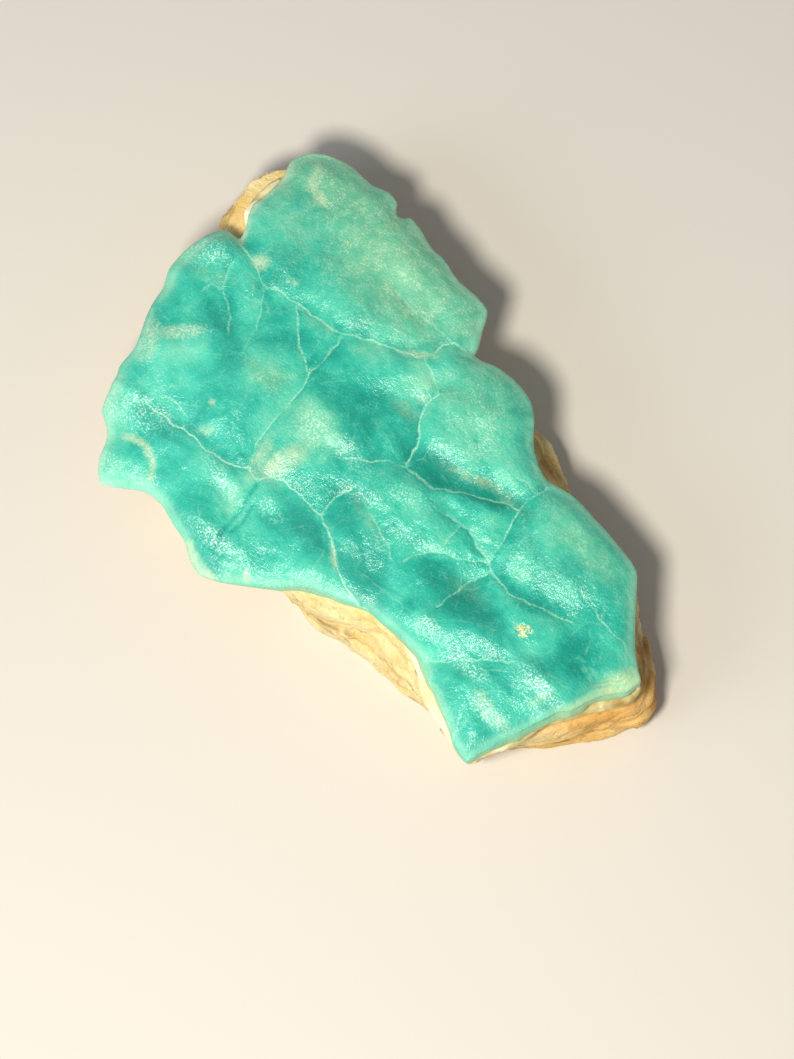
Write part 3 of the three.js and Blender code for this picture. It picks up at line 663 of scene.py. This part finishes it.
def bedded_rock():
    # Dry tan limestone, broken along its beds: dull and rough, with rusty stains that also carry painted
    # shade on its shaded side, painted shade in its hollows, and thin dark cracks.
    material, tree = new_material("broken tan limestone")
    spot = add(tree, "ShaderNodeTexCoord").outputs["Object"]
    stored = {name: add(tree, "ShaderNodeAttribute", attribute_name=name).outputs["Fac"]
              for name in ("crack", "hollow_shade", "bed", "rust_and_shade", "gold", "pale")}
    blotch = add(tree, "ShaderNodeTexNoise", {"Vector": spot, "Scale": repeats(9), "Detail": 7.0,
                                              "Roughness": 0.65, "Distortion": 0.3}).outputs["Fac"]
    grit = add(tree, "ShaderNodeTexNoise", {"Vector": spot, "Scale": repeats(0.9), "Detail": 4.0,
                                            "Roughness": 0.7}).outputs["Fac"]
    squeeze = add(tree, "ShaderNodeMapping", {"Vector": spot, "Scale": (1, 1, 4)}).outputs["Vector"]
    fibres = add(tree, "ShaderNodeTexNoise", {"Vector": squeeze, "Scale": repeats(4), "Detail": 6.0,
                                              "Roughness": 0.65, "Distortion": 1.8}).outputs["Fac"]

    # Body: paler and darker beds, blotched, and darker in the hollows as painted shade.
    level = add(tree, "ShaderNodeMath", {0: blotch, 1: 1.0, 2: -0.1}, operation="MULTIPLY_ADD").outputs[0]
    for mark, share in (("bed", 0.12), ("hollow_shade", -0.12), ("pale", 0.16)):
        level = add(tree, "ShaderNodeMath", {0: stored[mark], 1: share, 2: level},
                    operation="MULTIPLY_ADD").outputs[0]
    for pattern, share in ((grit, 0.3), (fibres, 0.35)):
        level = add(tree, "ShaderNodeMath", {0: pattern, 1: share, 2: level},
                    operation="MULTIPLY_ADD").outputs[0]
    colour = add(tree, "ShaderNodeValToRGB", {"Fac": level}, stops=[
        (0.28, linear("#B08846")), (0.44, linear("#D3B06A")),
        (0.6, linear("#E3CB88")), (0.82, linear("#EFE1AE")),
    ]).outputs["Color"]

    # Stains over the body, each with how far it covers; the rust is partly painted shade.
    spread = add(tree, "ShaderNodeTexNoise", {"Vector": spot, "Scale": repeats(5),
                                              "Detail": 5.0}).outputs["Fac"]
    rust_and_shade = add(tree, "ShaderNodeMath", {0: spread, 1: 1.6, 2: -0.3}, operation="MULTIPLY_ADD").outputs[0]
    rust_and_shade = add(tree, "ShaderNodeMath", {0: stored["rust_and_shade"], 1: 0.6, 2: rust_and_shade},
               operation="MULTIPLY_ADD").outputs[0]
    rust_and_shade = add(tree, "ShaderNodeMapRange", {"Value": rust_and_shade, "From Min": 0.75, "From Max": 1.3,
                                            "To Max": 0.85}).outputs[0]
    streak = add(tree, "ShaderNodeMapRange", {"Value": fibres, "From Min": 0.4, "From Max": 0.3,
                                              "To Max": 0.35}).outputs[0]
    swirl = add(tree, "ShaderNodeMath", {0: fibres, 1: 62.0}, operation="MULTIPLY").outputs[0]
    swirl = add(tree, "ShaderNodeMath", {0: swirl}, operation="SINE").outputs[0]
    swirl = add(tree, "ShaderNodeMapRange", {"Value": swirl, "From Min": 0.55, "From Max": 1.0,
                                             "To Max": 0.45}).outputs[0]
    freckle = add(tree, "ShaderNodeMapRange", {"Value": grit, "From Min": 0.66, "From Max": 0.74,
                                               "To Max": 0.5}).outputs[0]
    gold = add(tree, "ShaderNodeMath", {0: stored["gold"], 1: 0.75}, operation="MULTIPLY").outputs[0]
    for cover, code in (
        (gold, "#F0BB62"), (rust_and_shade, "#AE6C18"), (streak, "#A57E44"), (swirl, "#B48A48"),
        (freckle, "#85602F"), (stored["crack"], "#5A4222"),
    ):
        colour = add(tree, "ShaderNodeMix", {MIX_FACTOR: cover, MIX_A: colour, MIX_B: linear(code)},
                     data_type="RGBA").outputs[MIX_RESULT]

    coarse_bump = add(tree, "ShaderNodeBump", {"Height": fibres, "Strength": 0.7, "Distance": 0.6 * MM})
    fine_bump = add(tree, "ShaderNodeBump", {
        "Height": grit, "Strength": 0.8, "Distance": 0.25 * MM, "Normal": coarse_bump.outputs["Normal"],
    })
    shader = add(tree, "ShaderNodeBsdfPrincipled", {
        "Base Color": colour, "Roughness": 0.9, "Normal": fine_bump.outputs["Normal"],
    })
    add(tree, "ShaderNodeOutputMaterial", {"Surface": shader.outputs["BSDF"]})
    return material


def nearest_gap(points, edge):
    """Distance in plan from each point to the nearest of the edge's points, in mm."""
    tree = KDTree(len(edge))
    for index, (x, y, _) in enumerate(edge):
        tree.insert((x, y, 0), index)
    tree.balance()
    return np.array([tree.find((x, y, 0))[2] for x, y, _ in points])


def bed_noise(points, bed, wavelength):
    """Noise that changes from bed to bed of the rock, and slowly along each bed."""
    return 2 * ripple(np.stack([points[:, 0], points[:, 1], bed * wavelength * 3.7], axis=1), wavelength, 0.3)


def chips(points, size, shift):
    """Flat chips of broken stone of about this size in mm, each tilted its own way, from about -1 to 1."""
    heights = []
    for place in points / np.asarray(size, float) + shift:
        middle = noise.voronoi(Vector(place))[1][0]
        heights.append(2.5 * noise.noise_vector(middle * 3.7).dot(Vector(place) - middle))
    return np.clip(heights, -1, 1)


def make_crust(material):
    work = start_from("aragonite_crust")
    cut_into_squares(work, CRUST_UNDERSIDE, step=3)
    refine(work, set(work.faces) - set(flat_faces(work, CRUST_UNDERSIDE)), cuts=5, passes=6)
    piece = finish_piece(work, "crust", "aragonite_crust", material)
    mesh = piece.data
    points = positions(mesh)
    facing = normals(mesh)
    places = photo_place(points)

    # The top as against the rim and the underside, and the distance to the rim's lowest points.
    above = points[:, 2] - CRUST_UNDERSIDE
    topside = smooth((facing[:, 2] - 0.1) / 0.5) * smooth(above / 1.5)
    rim_gap = nearest_gap(points, points[(above > 0.05) & (above < 0.8)])

    # No line runs quite straight, and the seams fade here and there.
    wander = np.stack([ripple(points, 2.4, 1.2) + 0.4 * ripple(points, 0.9, 7.1),
                       ripple(points, 2.4, 4.6) + 0.4 * ripple(points, 0.9, 3.9)], axis=1)
    gap, seam_side, clearness = distance_to_lines(places + SEAM_WANDER * PIXELS_PER_MM * wander, SEAMS)
    clearness = clearness * smooth(0.85 + 0.9 * ripple(points, 5, 6.6))
    dark_gap = gap_to(places, DARK_CRACKS)
    cream_gap = gap_to(places + CREAM_WANDER * PIXELS_PER_MM * wander, CREAM_LINES)
    sugar_and_highlight = patches(places, SUGAR_AND_HIGHLIGHT)
    calcite = patches(places, CALCITE_SPOT)
    dark_line = np.exp(-(dark_gap / DARK_LINE_WIDTH) ** 2)
    marks = {
        # Darker tone: deeper teal with painted shade, less where painted light falls, and dark hairline
        # cracks.
        "depth_and_shading": patches(places, DEEP_AND_SHADED) - patches(places, PALE_AND_LIT) + 0.9 * dark_line,
        "frost": patches(places, FROST),
        "cool": patches(places, COOL),
        "sugar_and_highlight": sugar_and_highlight,
        "cream": np.maximum(patches(places, CREAM), 0.8 * np.exp(-(cream_gap / CREAM_LINE_WIDTH) ** 2)),
        "dirt": patches(places, DIRT),
        "laminae": patches(places, LAMINAE),
        "calcite": calcite,
        # Where the painted glow and edge highlight along the rim fall.
        "rim": np.exp(-rim_gap / PAINTED_GLOW_WIDTH),
        "rim_gap": rim_gap,
        "step": seam_side * clearness * np.exp(-gap / SEAM_SIDE_WIDTH),
        "seam_clearness": clearness * (1 - smooth((gap - 0.5) / 0.3)),
        "seam_across": gap * seam_side,
        "above": above,
        "flank": smooth((0.7 - facing[:, 2]) / 0.35),
    }
    for name in CRUST_MARKS:
        store(mesh, name, marks[name])

    shoulder = SHOULDER_RISE * (1 - np.exp(-gap / SHOULDER_WIDTH))
    relief = clearness * (shoulder - GROOVE_DEPTH * np.exp(-(gap / GROOVE_WIDTH) ** 2))
    relief += tilts(places, SUGAR_AND_HIGHLIGHT, SUGAR_SLOPE)
    relief -= tilts(places, DEEP_AND_SHADED, DEEP_SLOPE) + tilts(places, AWAY, AWAY_SLOPE)
    relief += (1 - patches(places, CALM)) * layered(points, CRUST_RIPPLES)
    relief += SKIN_HEIGHT * (1 + sugar_and_highlight) * ripple(points, SKIN_WAVE, 9.4)
    relief -= DARK_CRACK_DEPTH * np.exp(-(dark_gap / DARK_CRACK_WIDTH) ** 2)
    relief += CALCITE_HEIGHT * calcite * (0.4 + ripple(points, CALCITE_WAVE, 1.1))
    swelling = RIM_SWELL + patches(places, SWOLLEN) - NOTCH_DEPTH * patches(places, NOTCHED)
    ragged = 1 + 0.8 * ripple(points, (3, 3, 5), 6.2)
    reach = SLOPE_FOOT * ragged - SLOPE_LOSS * smooth(above / SLOPE_HEIGHT)
    swelling += patches(places, SLOPING) * reach
    outward = smooth((0.8 - np.abs(facing[:, 2])) / 0.5) * swelling
    points += facing * (topside * relief)[:, None] + facing * [1, 1, 0] * outward[:, None]
    points[:, 2] += layer_sway(points)
    place(mesh, points)
    ease_folds(mesh)


def make_selvage(material):
    work = start_from("cream_selvage")
    low, high = SELVAGE_LEVELS
    cut_into_squares(work, low, step=3)
    cut_into_squares(work, high, step=3)
    refine(work, set(work.faces) - set(flat_faces(work, low)) - set(flat_faces(work, high)), cuts=3, passes=5)
    piece = finish_piece(work, "selvage", "cream_selvage", material)
    mesh = piece.data
    points = positions(mesh)
    facing = normals(mesh)
    places = photo_place(points)
    store(mesh, "clean", patches(places, WHITE_WEDGE))

    side = smooth((1 - np.abs(facing[:, 2])) * 3)
    bulge = layered(points, SELVAGE_LUMPS)
    bulge += BARED_REACH * patches(places, BARED) + SLOPING_REACH * patches(places, SLOPING)
    points += facing * [1, 1, 0] * (side * bulge)[:, None]
    draw_in(points, places)

    # It swells up and down to meet the crust and the rock.
    middle = (low + high) / 2
    points[:, 2] = middle + (points[:, 2] - middle) * (high - low + 2 * LAYER_GAP) / (high - low)
    points[:, 2] += layer_sway(points)
    place(mesh, points)
    ease_folds(mesh)


def make_matrix(material):
    work = start_from("matrix")
    cut_into_squares(work, 0, step=4)
    cut_into_squares(work, MATRIX_TOP, step=2)
    flat = set(flat_faces(work, 0)) | set(flat_faces(work, MATRIX_TOP))
    refine(work, set(work.faces) - flat, cuts=5, passes=3)
    piece = finish_piece(work, "matrix_rock", "matrix", material)
    mesh = piece.data
    points = positions(mesh)
    facing = normals(mesh)
    places = photo_place(points)
    free = smooth(points[:, 2] / 1.5)
    side = smooth((1 - np.abs(facing[:, 2])) * 2.5)
    bedded = 1 - 0.8 * patches(places, MASSIVE)
    pale = patches(places, PALE)

    # Beds: the broken face steps in and out from bed to bed, each its own way along the face, with a parting
    # between two beds that opens here and there.
    level = points[:, 2] / BED_HEIGHT + 0.45 * ripple(points, 24, 1.9) + 0.12 * ripple(points, 5, 4.9)
    bed = np.floor(level)
    parting = np.abs(level - bed - PARTING_AT) * BED_HEIGHT
    crossing = smooth((level - bed - PARTING_AT) / (1 - PARTING_AT))
    reach, tint = bed_noise(points, bed, BED_RUN), bed_noise(points, bed, TINT_RUN)
    next_reach, next_tint = bed_noise(points, bed + 1, BED_RUN), bed_noise(points, bed + 1, TINT_RUN)
    opening = smooth(2.2 * ripple(points, (9, 9, 4), 2.8) + 0.45 - 0.35 * pale)
    opening = side * bedded * opening
    relief = BED_STEP * side * bedded * (reach + (next_reach - reach) * crossing)
    relief -= PARTING_DEPTH * opening * np.exp(-(parting / PARTING_WIDTH) ** 2)
    relief += layered(points, ROCK_SWELLS)
    relief += sum(height * chips(points, size, shift) for height, size, shift in ROCK_CHIPS) - 0.3
    relief += JUT * side * patches(places, JUTTING)
    points += facing * (free * relief * (0.2 + 0.8 * side))[:, None]
    points[:, 2] += layer_sway(points)
    points[:, 2] = np.maximum(points[:, 2], 0)
    draw_in(points, places)

    store(mesh, "crack", 0.7 * opening * np.exp(-(parting / CRACK_LINE_WIDTH) ** 2))
    # Painted shade: darker where the relief sinks in.
    store(mesh, "hollow_shade", smooth(0.4 - 0.8 * relief))
    store(mesh, "bed", tint + (next_tint - tint) * crossing)
    store(mesh, "pale", pale)
    store(mesh, "gold", patches(places, GOLDEN))
    # Rust stain, partly painted shade; it fades on faces that turn away from the camera.
    store(mesh, "rust_and_shade", patches(places, RUST_AND_SHADE) * smooth((facing * [1, 1, 0] @ BACK + 0.4) * 2))
    place(mesh, points)
    ease_folds(mesh)


def make_camera():
    data = bpy.data.cameras.new("camera")
    data.lens = PIXELS_PER_MM * CAMERA_DISTANCE / IMAGE_HEIGHT * data.sensor_width
    data.clip_start, data.clip_end = CLIP_RANGE
    camera = bpy.data.objects.new("camera", data)
    camera.location = (AIM + BACK * CAMERA_DISTANCE) * MM
    camera.rotation_euler = Vector(-BACK).to_track_quat("-Z", "Y").to_euler()
    bpy.context.scene.collection.objects.link(camera)
    bpy.context.scene.camera = camera


def make_floor():
    work = bmesh.new()
    bmesh.ops.create_grid(work, x_segments=1, y_segments=1, size=FLOOR_HALF_WIDTH * MM)
    mesh = bpy.data.meshes.new("floor")
    work.to_mesh(mesh)
    work.free()
    floor = bpy.data.objects.new("floor", mesh)
    bpy.context.scene.collection.objects.link(floor)
    # Matt pale paper, which shows the shadow and no reflection.
    material, tree = new_material("matt pale paper")
    shader = add(tree, "ShaderNodeBsdfPrincipled", {"Base Color": linear("#D8D6D1"), "Roughness": 0.95})
    add(tree, "ShaderNodeOutputMaterial", {"Surface": shader.outputs["BSDF"]})
    mesh.materials.append(material)


def make_light(name, side, forward, rise, size, power, colour):
    """A round soft light.

    Seen from the photograph's side, it stands to the right, nearer and above, in mm.
    """
    data = bpy.data.lights.new(name, "AREA")
    data.shape = "DISK"
    data.size = size * MM
    data.energy = power
    data.color = linear(colour)[:3]
    light = bpy.data.objects.new(name, data)
    ahead = np.array([-math.sin(VIEW_TURN), math.cos(VIEW_TURN), 0])
    at = RIGHT * side - ahead * forward + np.array([0, 0, rise])
    light.location = at * MM
    light.rotation_euler = Vector(-at).to_track_quat("-Z", "Y").to_euler()
    light.visible_camera = False
    bpy.context.scene.collection.objects.link(light)


def make_lights():
    make_light("key", -130, 310, 620, 130, 5.0, "#FFF4E2")
    make_light("fill", -900, 500, 700, 700, 4.0, "#F4F8FF")
    world = bpy.data.worlds.new("studio")
    world.use_nodes = True
    background = world.node_tree.nodes["Background"]
    background.inputs["Color"].default_value = linear("#F2F4F6")
    background.inputs["Strength"].default_value = 0.26
    bpy.context.scene.world = world
    bpy.context.scene.view_settings.view_transform = "Standard"


make_camera()
make_floor()
make_lights()
make_crust(waxy_aragonite())
make_selvage(chalky_selvage())
make_matrix(bedded_rock())
